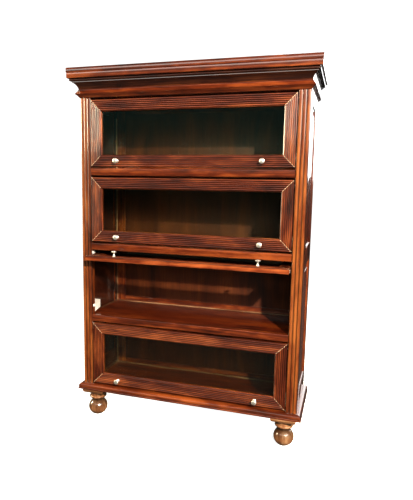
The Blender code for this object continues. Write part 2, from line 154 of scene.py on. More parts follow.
def board(low, high, ease=0.0008, segments=3):
    """A plank between two corners, with eased edges."""
    bm = bmesh.new()
    cube = bmesh.ops.create_cube(bm, size=1.0)["verts"]
    bmesh.ops.scale(bm, verts=cube, vec=[abs(h - l) for l, h in zip(low, high)])
    bmesh.ops.translate(bm, verts=cube, vec=[(h + l) / 2 for l, h in zip(low, high)])
    bmesh.ops.bevel(bm, geom=bm.edges[:], offset=ease, segments=segments, profile=0.5, affect="EDGES")
    bmesh.ops.recalc_face_normals(bm, faces=bm.faces)
    return bm


def revolve(profile, steps=48):
    """A profile of (radius, height) points turned about Z."""
    bm = bmesh.new()
    points = [bm.verts.new((radius, 0, height)) for radius, height in profile]
    edges = [bm.edges.new(pair) for pair in zip(points, points[1:])]
    bmesh.ops.spin(
        bm, geom=points + edges, cent=(0, 0, 0), axis=(0, 0, 1), angle=math.tau, steps=steps
    )
    bmesh.ops.remove_doubles(bm, verts=bm.verts, dist=1e-6)
    bmesh.ops.recalc_face_normals(bm, faces=bm.faces)
    return bm


def gather(parts):
    """Several meshes as one. Each part is (mesh, matrix)."""
    bm = bmesh.new()
    for mesh, matrix in parts:
        before = len(bm.verts)
        bm.from_mesh(mesh)
        bm.verts.ensure_lookup_table()
        bmesh.ops.transform(bm, matrix=matrix, verts=bm.verts[before:])
    return bm


def as_mesh(bm):
    """Turns a working mesh into mesh data, and frees it."""
    made = bpy.data.meshes.new("working")
    bm.to_mesh(made)
    bm.free()
    return made


def carve(bm, *cutters):
    """Cuts meshes out of another with exact Booleans."""
    target = bpy.data.objects.new("target", as_mesh(bm))
    bpy.context.scene.collection.objects.link(target)
    tools = []
    for cutter in cutters:
        tool = bpy.data.objects.new("tool", as_mesh(cutter))
        bpy.context.scene.collection.objects.link(tool)
        target.modifiers.new("cut", "BOOLEAN").object = tool
        tools.append(tool)
    graph = bpy.context.evaluated_depsgraph_get()
    cut = bpy.data.meshes.new_from_object(target.evaluated_get(graph))
    bm = bmesh.new()
    bm.from_mesh(cut)
    for used in [target, *tools]:
        bpy.data.objects.remove(used, do_unlink=True)
    return bm


def stepped_block(low, high, edge, back_steps=True):
    """A block whose outline steps in by each (inset, height) of its edge, or keeps its back upright."""
    rings = []
    for inset, z in edge:
        behind = high.y - inset if back_steps else high.y
        left, right, ahead = low.x + inset, high.x - inset, low.y + inset
        rings.append([(left, ahead, z), (right, ahead, z), (right, behind, z), (left, behind, z)])
    return loft(rings)


def arc(centre, radii, start, end, segments):
    """Points of an elliptical arc, from one angle to another, in degrees."""
    return [
        (
            centre[0] + radii[0] * math.cos(math.radians(start + (end - start) * i / segments)),
            centre[1] + radii[1] * math.sin(math.radians(start + (end - start) * i / segments)),
        )
        for i in range(segments + 1)
    ]


def bow(start, end, sag, segments=8):
    """Points of a shallow curve between two points. A positive sag bends it to the left of the way."""
    (x0, y0), (x1, y1) = start, end
    wide, tall = x1 - x0, y1 - y0
    length = math.hypot(wide, tall)
    points = []
    for i in range(segments + 1):
        share = i / segments
        lift = sag * 4 * share * (1 - share) / length
        points.append((x0 + wide * share - tall * lift, y0 + tall * share + wide * lift))
    return points


def reeds(start, end, count, depth, segments):
    """Side-by-side half rounds. Their crests are at 0 and the valleys at depth."""
    pitch = (end - start) / count
    points = [(start, depth)]
    for reed in range(count):
        for i in range(1, segments + 1):
            turn = math.pi * i / segments
            across = start + pitch * (reed + (1 - math.cos(turn)) / 2)
            points.append((across, depth * (1 - math.sin(turn))))
    return points


# ---------------------------------------------------------------- pieces
def piece(
    name, bm, body, slot, material, grain="X", hollow=None, worn=None, smooth=30, matrix=None, stands_for=()
):
    """Adds a finished piece. Its grain attribute holds where each point lies in a plank of its own.

    The shade function gives how much painted shade a point takes, from 0 to 1: deep in a groove, under an
    overhang, on a face inside the case, or high on a foot's ball. The glint function gives how much painted
    highlight a point takes at a door's mitre, from 0 to 1.
    """
    mesh = bpy.data.meshes.new(name)
    bm.to_mesh(mesh)
    bm.free()
    mesh.shade_smooth()
    mesh.set_sharp_from_angle(angle=math.radians(smooth))
    chance = random.Random(name)
    shift = Vector([chance.uniform(-9, 9) for _ in range(3)])
    order = {"X": (0, 1, 2), "Y": (1, 0, 2), "Z": (2, 1, 0)}[grain]
    plank, depth, glinted = [], [], []
    for vertex in mesh.vertices:
        plank.extend(vertex.co[axis] + shift[i] for i, axis in enumerate(order))
        depth.append(hollow(vertex.co) if hollow else 0.0)
        glinted.append(worn(vertex.co) if worn else 0.0)
    mesh.attributes.new("grain", "FLOAT_VECTOR", "POINT").data.foreach_set("vector", plank)
    mesh.attributes.new("hollow", "FLOAT", "POINT").data.foreach_set("value", depth)
    mesh.attributes.new("worn", "FLOAT", "POINT").data.foreach_set("value", glinted)
    made = bpy.data.objects.new(name, mesh)
    if matrix is not None:
        made.matrix_world = matrix
    bpy.context.scene.collection.objects.link(made)
    mesh.materials.append(material)
    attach(made, body)
    if stands_for:
        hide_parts(*stands_for)
    return made


# ---------------------------------------------------------------- materials
def add(tree, kind, settings=(), **inputs):
    """Adds a shader node. An input that is a socket is linked, and any other sets the value."""
    made = tree.nodes.new("ShaderNode" + kind)
    for key, value in dict(settings).items():
        setattr(made, key, value)
    for key, value in inputs.items():
        socket = made.inputs[int(key[1:])] if key[0] == "_" else made.inputs[key.replace("_", " ")]
        if isinstance(value, bpy.types.NodeSocket):
            tree.links.new(value, socket)
        else:
            socket.default_value = value
    return made


def blank(name):
    """A new material and its node tree, with nothing but the output left in it."""
    material = bpy.data.materials.new(name)
    material.use_nodes = True
    tree = material.node_tree
    for old in list(tree.nodes):
        if old.type != "OUTPUT_MATERIAL":
            tree.nodes.remove(old)
    return material, tree


def show(tree, shader):
    """Links a shader to the material's surface."""
    tree.links.new(shader.outputs[0], tree.nodes["Material Output"].inputs["Surface"])


def ramp(tree, fac, *stops):
    """Colours a factor by stops of (place, colour)."""
    made = add(tree, "ValToRGB", Fac=fac)
    elements = made.color_ramp.elements
    while len(elements) < len(stops):
        elements.new(0.5)
    for element, (place, colour) in zip(elements, stops):
        element.position = place
        element.color = colour if len(colour) == 4 else (*colour, 1.0)
    return made.outputs["Color"]


def grey(value):
    return (value, value, value, 1.0)


def maths(tree, operation, one, other):
    """The result of a Math node on two sockets or numbers."""
    return add(tree, "Math", {"operation": operation}, _0=one, _1=other).outputs[0]


def blend(tree, share, one, other):
    """Mixes two colours. A share of 1 gives the other."""
    mixed = add(tree, "Mix", {"data_type": "RGBA"}, Factor=share, _6=one, _7=other)
    return mixed.outputs[2]


def noise(tree, vector, along, across, detail=2.0, roughness=0.5, distortion=0.0):
    """Noise stretched along the grain: how many cells there are per metre along and across it."""
    stretched = add(
        tree, "VectorMath", {"operation": "MULTIPLY"}, _0=vector, _1=(along, across, across)
    )
    made = add(
        tree,
        "TexNoise",
        Vector=stretched.outputs[0],
        Scale=1.0,
        Detail=detail,
        Roughness=roughness,
        Distortion=distortion,
    )
    return made.outputs["Fac"]


def plank_space(tree, axis=None):
    """Where a point lies in its plank: the piece's own attribute, or for a CAD node its place by axis."""
    if axis is None:
        return add(tree, "Attribute", {"attribute_name": "grain"}).outputs["Vector"]
    place = add(tree, "TexCoord").outputs["Object"]
    split = add(tree, "SeparateXYZ", Vector=place)
    order = {"X": (0, 1, 2), "Y": (1, 0, 2), "Z": (2, 1, 0)}[axis]
    swapped = [split.outputs[i] for i in order]
    return add(tree, "CombineXYZ", X=swapped[0], Y=swapped[1], Z=swapped[2]).outputs[0]


def wood(
    name, dark, middle, light, axis=None,
    coat=1.0, gloss=0.06, figure=22.0, growth=150.0, shade_strength=0.85, reach=0.7,
):
    """Polished mahogany: ribbon figure, growth lines, fibres and short open pores under a clear coat.

    figure and growth are how many ribbons and growth lines there are per metre across the grain. Painted
    shade darkens grooves, coves and inside faces, further up their sides for a smaller reach. Door mitres
    get a painted highlight of pale bare wood.
    """
    material, tree = blank(name)
    place = plank_space(tree, axis)
    ribbon = noise(tree, place, 1.3, figure, 3.0, 0.55, 0.4)
    lines = noise(tree, place, 4.0, growth, 6.0, 0.62)
    fibres = noise(tree, place, 26.0, 1000.0, 2.0)
    clouds = noise(tree, place, 9.0, 34.0, 4.0, 0.55, 0.5)
    pores = ramp(
        tree, noise(tree, place, 150.0, 2300.0, 1.0), (0.60, grey(0.0)), (0.70, grey(1.0))
    )
    tone = maths(tree, "MULTIPLY", ribbon, 0.42)
    tone = maths(tree, "ADD", tone, maths(tree, "MULTIPLY", lines, 0.26))
    tone = maths(tree, "ADD", tone, maths(tree, "MULTIPLY", clouds, 0.32))
    colour = ramp(tree, tone, (0.37, dark), (0.49, middle), (0.62, light))
    # Painted shade from the piece's shade attribute, joined with the real darkness of the open pores.
    hollow = add(tree, "Attribute", {"attribute_name": "hollow"}).outputs["Fac"]
    shade_amount = maths(tree, "MULTIPLY", maths(tree, "POWER", hollow, reach), shade_strength)
    shade = maths(tree, "MAXIMUM", maths(tree, "MULTIPLY", pores, 0.45), shade_amount)
    pored_and_shaded = blend(tree, shade, colour, (*(0.12 * channel for channel in dark), 1.0))
    # A painted highlight at the door mitres, pale bare wood broken up by noise.
    worn = add(tree, "Attribute", {"attribute_name": "worn"}).outputs["Fac"]
    glint_breaks = ramp(tree, noise(tree, place, 90.0, 260.0, 2.0), (0.32, grey(0.0)), (0.48, grey(1.0)))
    glinted = blend(tree, maths(tree, "MULTIPLY", worn, glint_breaks), pored_and_shaded, GLINT_COLOUR)
    height = maths(tree, "SUBTRACT", maths(tree, "MULTIPLY", fibres, 0.35), pores)
    bump = add(tree, "Bump", Strength=0.25, Distance=0.0003, Height=height)
    rough = ramp(tree, lines, (0.3, grey(0.38)), (0.7, grey(0.50)))
    shader = add(
        tree,
        "BsdfPrincipled",
        Base_Color=glinted,
        Roughness=rough,
        Normal=bump.outputs["Normal"],
        Specular_IOR_Level=0.2,
        Coat_Weight=coat,
        Coat_IOR=1.65,
        Coat_Roughness=gloss,
    )
    show(tree, shader)
    return material


def metal(name, tone, rough, axis="X", metallic=1.0):
    """Bright metal with fine drawn or turned streaks and a few dull patches."""
    material, tree = blank(name)
    place = plank_space(tree, axis)
    scratches = noise(tree, place, 12.0, 600.0, 3.0, 0.6)
    patches = noise(tree, place, 60.0, 60.0, 3.0, 0.6)
    wear = maths(tree, "MULTIPLY", maths(tree, "ADD", scratches, patches), 0.5)
    colour = ramp(tree, wear, (0.35, [channel * 0.78 for channel in tone]), (0.65, tone))
    roughness = ramp(tree, patches, (0.3, grey(rough * 0.75)), (0.7, grey(rough * 1.35)))
    bump = add(tree, "Bump", Strength=0.12, Distance=0.0001, Height=scratches)
    shader = add(
        tree,
        "BsdfPrincipled",
        Base_Color=colour,
        Roughness=roughness,
        Normal=bump.outputs["Normal"],
        Metallic=metallic,
    )
    show(tree, shader)
    return material


def pane_glass(name):
    """Old flat glass: clear with a green-grey tint, faint smears, and lamps shine through it."""
    material, tree = blank(name)
    place = plank_space(tree, "X")
    smears = noise(tree, place, 7.0, 16.0, 4.0, 0.6, 0.8)
    roughness = ramp(tree, smears, (0.42, grey(0.012)), (0.75, grey(0.07)))
    waves = noise(tree, place, 4.0, 9.0, 1.0)
    bump = add(tree, "Bump", Strength=0.05, Distance=0.002, Height=waves)
    glass = add(
        tree,
        "BsdfPrincipled",
        Base_Color=(0.56, 0.70, 0.60, 1.0),
        Roughness=roughness,
        Normal=bump.outputs["Normal"],
        IOR=1.5,
        Transmission_Weight=1.0,
    )
    open_to_light = add(tree, "BsdfTransparent", Color=(0.88, 0.88, 0.84, 1.0))
    shadow = add(tree, "LightPath").outputs["Is Shadow Ray"]
    show(tree, add(tree, "MixShader", _0=shadow, _1=glass.outputs[0], _2=open_to_light.outputs[0]))
    return material


def plywood(name):
    """The thin stained sheet at the back, matt, with a broad rotary-cut figure."""
    material, tree = blank(name)
    place = plank_space(tree, "Z")
    swirl = noise(tree, place, 1.1, 6.0, 4.0, 0.6, 2.2)
    lines = noise(tree, place, 6.0, 260.0, 4.0, 0.6)
    tone = maths(tree, "ADD", maths(tree, "MULTIPLY", swirl, 0.7), maths(tree, "MULTIPLY", lines, 0.3))
    dark, middle, light = BACK_TONES
    colour = ramp(tree, tone, (0.34, dark), (0.52, middle), (0.68, light))
    bump = add(tree, "Bump", Strength=0.2, Distance=0.0003, Height=lines)
    rough = ramp(tree, swirl, (0.3, grey(0.48)), (0.7, grey(0.66)))
    shader = add(
        tree, "BsdfPrincipled", Base_Color=colour, Roughness=rough, Normal=bump.outputs["Normal"]
    )
    show(tree, shader)
    return material


# The dark, middle and light wood of each figure, in linear RGB.
CASE_TONES = ((0.016, 0.0025, 0.0008), (0.108, 0.0180, 0.0036), (0.310, 0.078, 0.016))
POST_TONES = ((0.030, 0.0054, 0.0014), (0.168, 0.034, 0.0057), (0.385, 0.126, 0.029))
REED_TONES = ((0.022, 0.0037, 0.0016), (0.140, 0.0238, 0.0061), (0.440, 0.120, 0.033))
# The feet's wood is lighter and tanner than the case's: partly wear, partly a painted sheen standing for
# the pale floor reflected in them.
FOOT_TONES = ((0.060, 0.019, 0.006), (0.270, 0.115, 0.048), (0.520, 0.300, 0.160))
BARE_TONES = ((0.030, 0.010, 0.004), (0.130, 0.055, 0.024), (0.340, 0.200, 0.110))
# INSIDE_TONES are a darker copy of the case's wood for the boards inside it: painted shade.
INSIDE_TONES = ((0.022, 0.0030, 0.0007), (0.088, 0.0115, 0.0017), (0.180, 0.035, 0.004))
PANEL_TONES = ((0.030, 0.004, 0.001), (0.110, 0.017, 0.003), (0.210, 0.042, 0.008))
BACK_TONES = ((0.036, 0.007, 0.001), (0.100, 0.022, 0.004), (0.175, 0.044, 0.008))

MAHOGANY = wood("mahogany", *CASE_TONES)
POST = wood("post_mahogany", *POST_TONES, gloss=0.12, shade_strength=0.97)
REEDED = wood("reeded_mahogany", *REED_TONES, gloss=0.10, growth=420.0, shade_strength=0.97, reach=0.42)
BARE = wood("bare_beads", *BARE_TONES, coat=0.3, gloss=0.2)
WORN_SHEEN = wood("worn_mahogany", *FOOT_TONES, gloss=0.10)
PANEL = wood("panel_mahogany", *PANEL_TONES, figure=12.0, gloss=0.09)
CAD_MAHOGANY_X = wood("mahogany_along_x", *CASE_TONES, axis="X")
CAD_INSIDE_X = wood("inside_along_x", *INSIDE_TONES, axis="X", figure=14.0, coat=0.3, gloss=0.25)
INSIDE = wood("inside_mahogany", *INSIDE_TONES, figure=14.0, coat=0.3, gloss=0.25)
NICKEL = metal("satin_nickel", (0.90, 0.87, 0.81), 0.42, metallic=0.85)
ZINC = metal("bright_zinc", (0.95, 0.93, 0.88), 0.50, axis="Y", metallic=0.25)
STEEL = metal("track_steel", (0.74, 0.74, 0.73), 0.30, axis="Y")
GLASS = pane_glass("pane_glass")
PLYWOOD = plywood("back_plywood")
FINISHES = {
    "mahogany": MAHOGANY,
    "reeded_mahogany": REEDED,
    "panel_mahogany": PANEL,
    "back_board": PLYWOOD,
    "glass": GLASS,
    "satin_nickel": NICKEL,
    "track_steel": STEEL,
}


def finished(name, bm, body, finish, **more):
    """A piece in one of the record's finishes."""
    return piece(name, bm, body, finish, FINISHES[finish], **more)


# ---------------------------------------------------------------- screws and pins
def screw_mesh():
    """A slotted round-head screw. Its head stands on z = 0 and points along +Z."""
    profile = [(0.0, 0.0014)] + arc((0.0, 0.0002), (0.0034, 0.0012), 75, 0, 5)
    profile += [(0.0034, -0.0002), (0.0, -0.0002)]
    slot_cutter = board((-0.005, -0.00035, 0.0007), (0.005, 0.00035, 0.003), 0.00005, 1)
    return as_mesh(carve(revolve(profile, 20), slot_cutter))


def pin_mesh():
    """The low dome of a panel pin."""
    profile = [(0.0, 0.0007)] + arc((0.0, 0.0), (0.0019, 0.0007), 70, 0, 3) + [(0.0, -0.0002)]
    return as_mesh(revolve(profile, 12))


SCREW = screw_mesh()
PIN = pin_mesh()


def fixings(name, mesh, body, finish, places, matrix=None):
    """Screws or pins in one piece. Each place is (point, outward direction)."""
    chance = random.Random(name)
    parts = []
    for point, outward in places:
        turn = Vector(outward).to_track_quat("Z", "Y").to_matrix().to_4x4()
        roll = Matrix.Rotation(chance.uniform(0, math.pi), 4, "Z")
        parts.append((mesh, Matrix.Translation(point) @ turn @ roll))
    return finished(name, gather(parts), body, finish, matrix=matrix)


# ---------------------------------------------------------------- mitred frames and mouldings
def frame_members(left, right, low, high, profile):
    """Four lengths of a profile mitred round a rectangle in the XZ plane: (name, mesh, grain).

    The profile is (inward, y) points, where inward is measured from the rectangle's edges.
    """

    def corner(x, z, slide_x, slide_z):
        turn_x = 1 if x == left else -1
        turn_z = 1 if z == low else -1
        return [(x + turn_x * (i + slide_x), y, z + turn_z * (i + slide_z)) for i, y in profile]

    members = []
    for name, z in (("top", high), ("bottom", low)):
        stations = ((left, HAIRLINE), (left, MITRE_GLINT), (right, MITRE_GLINT), (right, HAIRLINE))
        members.append((name + "_rail", loft([corner(x, z, slide, 0) for x, slide in stations]), "X"))
    for name, x in (("left", left), ("right", right)):
        stations = ((low, HAIRLINE), (low, MITRE_GLINT), (high, MITRE_GLINT), (high, HAIRLINE))
        members.append((name + "_stile", loft([corner(x, z, 0, slide) for z, slide in stations]), "Z"))
    return members


def glinting_mitres(left, right, low, high, face):
    """A painted highlight for mitred members: 1 at the show side's mitres, and 0 a little way in."""

    def worn(point):
        along = min(point.x - left, right - point.x)
        upward = min(point.z - low, high - point.z)
        return 1.0 if abs(along - upward) < 2 * HAIRLINE and point.y < face + 0.0012 else 0.0

    return worn


def case_moulding(name, profile, stands_for, hollow):
    """A moulding along the left, front and right of the case, in three lengths that meet at mitres.

    The profile is (projection, height) points.
    """

    def end(side, at_front, slide_x, slide_y):
        return [
            (side * (HALF + out - slide_x), FRONT - out + slide_y if at_front else BACK, z)
            for out, z in profile
        ]

    lengths = (
        ("front", [end(-1, True, HAIRLINE, 0), end(1, True, HAIRLINE, 0)], "X"),
        ("left", [end(-1, False, 0, 0), end(-1, True, 0, HAIRLINE)], "Y"),
        ("right", [end(1, False, 0, 0), end(1, True, 0, HAIRLINE)], "Y"),
    )
    for where, rings, grain in lengths:
        finished(
            f"{name}_{where}", loft(rings), CASE, "mahogany",
            grain=grain, hollow=hollow, stands_for=(stands_for,),
        )


# ---------------------------------------------------------------- the case
def build_cornice():
    """The moulded top board, the cornice under it and the bead below that."""
    low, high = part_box("top_board")
    edge = [(0.0016, low.z), (0.0004, low.z + 0.0012), (0.0, low.z + 0.0030)]
    edge += [(0.0, high.z - 0.0045), (0.0005, high.z - 0.0022), (0.0016, high.z - 0.0007)]
    edge += [(0.0032, high.z)]
    finished(
        "moulded_top_board", stepped_block(low, high, edge, back_steps=False), CASE, "mahogany",
        stands_for=("top_board",),
    )

    low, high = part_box("cornice_moulding")
    reach = high.x - HALF
    top, foot = high.z, low.z
    fascia = top - 0.0210
    cove = foot + 0.0260
    profile = [(GAP, foot)] + bow((0.0040, foot), (0.0214, cove - 0.0014), 0.0034, 12)
    profile += [(0.0236, cove - 0.0010), (0.0236, cove + 0.0020)]
    profile += arc((0.0246, cove + 0.0072), (0.0074, 0.0050), -80, 62, 8)
    profile += [(0.0292, fascia), (reach - 0.0016, fascia), (reach - 0.0003, fascia + 0.0008)]
    profile += [(reach, fascia + 0.0022), (reach, top - 0.0016), (reach - 0.0010, top), (GAP, top)]

    # Painted shadow of the fascia's overhang, on the ovolo and cove under it.
    def under_fascia(point):
        return 0.9 if foot + 0.0005 < point.z < fascia - 0.0002 else 0.0

    case_moulding("cornice", profile, "cornice_moulding", hollow=under_fascia)

    low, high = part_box("cornice_bead")
    reach = high.x - HALF
    tip, proud = low.z + 0.0150, reach + 0.0030
    profile = [(GAP, low.z)] + bow((0.0006, low.z), (proud - 0.0004, tip - 0.0004), 0.0008)
    profile += [(proud, tip), (proud - 0.0002, tip + 0.0006)]
    profile += bow((proud - 0.0006, tip + 0.0010), (0.0038, high.z), 0.0006) + [(GAP, high.z)]

    # Painted shade in the quirks along the bead's top and bottom.
    def quirk(point):
        return 1.0 if point.z > high.z - 0.0005 or point.z < low.z + 0.0005 else 0.0

    case_moulding("bead", profile, "cornice_bead", hollow=quirk)


def build_base():
    """The base moulding: a thumbnail top over a small bead, returning inwards under the case."""
    low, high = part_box("base_moulding")
    reach = high.x - HALF
    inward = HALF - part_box("bottom_board")[1].x - GAP
    bead = low.z + 0.0048
    profile = [(-inward, high.z)]
    profile += arc((reach - 0.0130, high.z - 0.0112), (0.0112, 0.0112), 90, 4, 9)
    profile += [(reach - 0.0020, bead + 0.0058), (reach - 0.0034, bead + 0.0050)]
    profile += arc((reach - 0.0046, bead), (0.0046, 0.0046), 70, -84, 9)
    profile += [(-inward, low.z)]

    # Painted shade in the quirk between the thumbnail and the bead.
    def quirk(point):
        return 1.0 if bead + 0.0040 < point.z < bead + 0.0056 else 0.0

    case_moulding("base", profile, "base_moulding", hollow=quirk)


def build_pilaster(word, side):
    """A post with three broad reeds, notched at the back for each track and catch."""
    low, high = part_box(f"pilaster_{word}")
    shoulder = FRONT + POST_REED_DEPTH + 0.0006
    face = [(x, FRONT + y) for x, y in reeds(OPENING + 0.0006, HALF - 0.0006, 3, POST_REED_DEPTH, 16)]
    outline = [(OPENING, shoulder), *face, (HALF, shoulder), (HALF, POST_BACK), (OPENING, POST_BACK)]
    post = loft([[(side * x, y, z) for x, y in outline] for z in (low.z, high.z)])
    notches = []
    for tier in TIERS:
        for name in (f"track_{tier}_{word}", f"catch_{tier}_{word}"):
            behind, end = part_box(name)
            bottom, top = behind.z, end.z
            if name.startswith("catch"):
                bottom = tier_floor(tier) + CATCH_LINE - CATCH_HOLE
                top = tier_floor(tier) + CATCH_LINE + CATCH_HOLE
            span = sorted((side * (OPENING - 0.001), side * (INNER + GAP)))
            notches.append(
                board(
                    (span[0], behind.y - GAP, bottom - GAP),
                    (span[1], POST_BACK + 0.001, top + GAP),
                    0.0002,
                    1,
                )
            )
    post = carve(post, *notches)

    # Painted shade down in the reeds' valleys.
    def valley(point):
        deep = point.y - FRONT
        return min(1.0, max(0.0, deep / POST_REED_DEPTH)) if deep < POST_REED_DEPTH + 0.001 else 0.0

    piece(
        f"reeded_post_{word}", post, CASE, "mahogany", POST,
        grain="Z", hollow=valley, smooth=38, stands_for=(f"pilaster_{word}",),
    )


def build_side(word, side):
    """Stiles and rails round two fielded panels, with a moulding run round each opening."""
    low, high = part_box(f"side_frame_{word}")
    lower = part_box(f"side_panel_lower_{word}")
    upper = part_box(f"side_panel_upper_{word}")
    front_end, rear_start = lower[0].y - GAP, lower[1].y + GAP

    # Painted shade on the stiles' and rails' faces inside the case.
    def inside(point):
        return INNER_SHADE if abs(point.x) < INNER + 0.0005 else 0.0

    spans = {
        "front_stile": ((low.y, low.z), (front_end, high.z), "Z"),
        "rear_stile": ((rear_start, low.z), (high.y, high.z), "Z"),
        "bottom_rail": ((front_end, low.z), (rear_start, lower[0].z - GAP), "Y"),
        "middle_rail": ((front_end, lower[1].z + GAP), (rear_start, upper[0].z - GAP), "Y"),
        "top_rail": ((front_end, upper[1].z + GAP), (rear_start, high.z), "Y"),
    }
    for name, (start, end, grain) in spans.items():
        slide = HAIRLINE if grain == "Y" else 0.0
        bm = board((low.x, start[0] + slide, start[1]), (high.x, end[0] - slide, end[1]), 0.0006)
        made = finished(f"side_{name}_{word}", bm, CASE, "mahogany", grain=grain, hollow=inside)
        if name == "front_stile":
            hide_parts(f"side_frame_{word}")

    # The panels are made lying in XZ with their show face at -Y, and then turned to face outwards.
    turn = Matrix.Rotation(math.radians(90 * side), 4, "Z")
    for level, (start, end) in (("lower", lower), ("upper", upper)):
        half_wide = (end.y - start.y) / 2
        half_tall = (end.z - start.z) / 2
        outer_x = end.x if side > 0 else start.x
        place = Matrix.Translation((outer_x, (start.y + end.y) / 2, (start.z + end.z) / 2))
        field = [(0.0, 0.0100), (0.0, 0.0035), (0.0120, 0.0033), (0.0330, 0.0004), (0.0334, -0.0012)]
        field += [(0.0338, -0.0021), (0.0350, -0.0026)]
        rings = [
            [
                (x * (half_wide - i), y, z * (half_tall - i))
                for x, z in ((-1, -1), (1, -1), (1, 1), (-1, 1))
            ]
            for i, y in field
        ]
        # The panel's face inside the case takes painted shade.
        finished(
            f"fielded_panel_{level}_{word}", loft(rings), CASE, "panel_mahogany",
            grain="Z", hollow=lambda point: INNER_SHADE if point.y > 0.0095 else 0.0,
            matrix=place @ turn, stands_for=(f"side_panel_{level}_{word}",),
        )
        sticking = [(0.0, 0.0032), (0.0, -0.0042)]
        sticking += arc((0.0024, -0.0030), (0.0020, 0.0014), -120, -20, 5)
        sticking += arc((0.0106, -0.0026), (0.0058, 0.0044), 170, 98, 7)
        sticking += [(0.0112, 0.0022), (0.0112, 0.0030)]
        for name, bm, grain in frame_members(-half_wide, half_wide, -half_tall, half_tall, sticking):
            finished(
                f"sticking_{level}_{name}_{word}", bm, CASE, "mahogany",
                grain=grain, matrix=place @ turn,
            )


def build_shelf(tier):
    """A shelf board between the sides, and its rounded lip between the pilasters."""
    low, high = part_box(f"shelf_{tier}")
    lip_back = POST_BACK - 0.002  # the lip stops short, and the board runs on to it between the posts
    narrow = OPENING - GAP
    section = [(lip_back, low.z)]
    section += arc((low.y + LIP_ROUND, low.z + LIP_ROUND), (LIP_ROUND, LIP_ROUND), 270, 180, 6)
    section += arc((low.y + LIP_ROUND, high.z - LIP_ROUND), (LIP_ROUND, LIP_ROUND), 180, 90, 6)
    section += [(lip_back, high.z)]
    lip = loft([[(x, y, z) for y, z in section] for x in (-narrow, narrow)])
    finished(f"shelf_lip_{tier}", lip, CASE, "mahogany", stands_for=(f"shelf_{tier}",), smooth=40)

    behind = POST_BACK + GAP
    front_edge = lip_back + HAIRLINE
    half = [(high.x, high.y), (high.x, behind), (narrow, behind), (narrow, front_edge)]
    outline = half + [(-x, y) for x, y in reversed(half)]
    bm = loft([[(x, y, z) for x, y in outline] for z in (low.z, high.z)])
    piece(f"shelf_board_{tier}", bm, CASE, "panel_mahogany", INSIDE)


def build_back():
    """Thin stiles and rails line each tier's back, and a pinned sheet closes the case behind them."""
    low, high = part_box("back_frame")
    reach = high.x - BACK_STILE
    for word, side in SIDES:
        span = sorted((side * reach, side * high.x))
        bm = board((span[0], low.y, low.z), (span[1], high.y, high.z), 0.0009)
        made = finished(f"back_stile_{word}", bm, CASE, "mahogany", grain="Z")
        if side < 0:
            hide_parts("back_frame")
    tops = [high.z] + [tier_floor(tier) + BACK_RAIL for tier in TIERS]
    bottoms = [pivot_height(tier) + CEILING_ABOVE_PIVOT - BACK_RAIL for tier in TIERS] + [low.z]
    for number, (bottom, top) in enumerate(zip(bottoms, tops)):
        bm = board((-reach + HAIRLINE, low.y, bottom), (reach - HAIRLINE, high.y, top), 0.0009)
        finished(f"back_rail_{number}", bm, CASE, "mahogany")

    low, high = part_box("back_panel")
    finished(
        "back_sheet", board(low, high, 0.0005, 2), CASE, "back_board",
        grain="Z", stands_for=("back_panel",),
    )
    fixings("back_pins", PIN, CASE, "track_steel", back_pin_places(low, high))


def back_pin_places(low, high):
    """Panel pins round the back sheet, and in a row into the edge of each shelf."""
    columns, rows, edge, into_shelf = 9, 14, 0.010, 0.015
    left, bottom, right, top = low.x + edge, low.z + edge, high.x - edge, high.z - edge
    outward = (0, 1, 0)
    places = []
    for i in range(columns + 1):
        x = left + (right - left) * i / columns
        heights = [bottom, top] + [tier_floor(tier) - into_shelf for tier in TIERS[:-1]]
        places += [((x, high.y, z), outward) for z in heights]
    for i in range(1, rows):
        z = bottom + (top - bottom) * i / rows
        places += [((x, high.y, z), outward) for x in (left, right)]
    return places


def quarter_bead(start, end, into, axis):
    """A quarter-round bead along an axis from 0 to 2. into has the sense of its legs on the others."""
    first, second = [i for i in range(3) if i != axis]
    rings = []
    for along in (start[axis], end[axis]):
        ring = []
        for a, b in [(0.0, 0.0)] + arc((0.0, 0.0), (BEAD_LEG, BEAD_LEG), 0, 90, 6):
            point = list(start)
            point[axis] = along
            point[first] += into[0] * a
            point[second] += into[1] * b
            ring.append(point)
        rings.append(ring)
    return loft(rings)


def build_beads(tier):
    """Thin beads along the floor of a tier, and up its back corners."""
    wall, back = INNER - GAP, BACK_FACE - GAP
    bottom, top = tier_floor(tier) + GAP, pivot_height(tier) - BEAD_DROP
    clear = BEAD_LEG + GAP
    across = quarter_bead((clear - wall, back, bottom), (wall - clear, back, bottom), (-1, 1), 0)
    piece(f"floor_bead_{tier}_back", across, CASE, "mahogany", BARE)
    for word, side in SIDES:
        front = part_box(f"catch_{tier}_{word}")[1].y + 0.002
        x = side * wall
        deep = quarter_bead((x, front, bottom), (x, back - clear, bottom), (-side, 1), 1)
        piece(f"floor_bead_{tier}_{word}", deep, CASE, "mahogany", BARE, grain="Y")
        upright = quarter_bead((x, back, bottom), (x, back, top), (-side, -1), 2)
        piece(f"corner_bead_{tier}_{word}", upright, CASE, "mahogany", BARE, grain="Z")


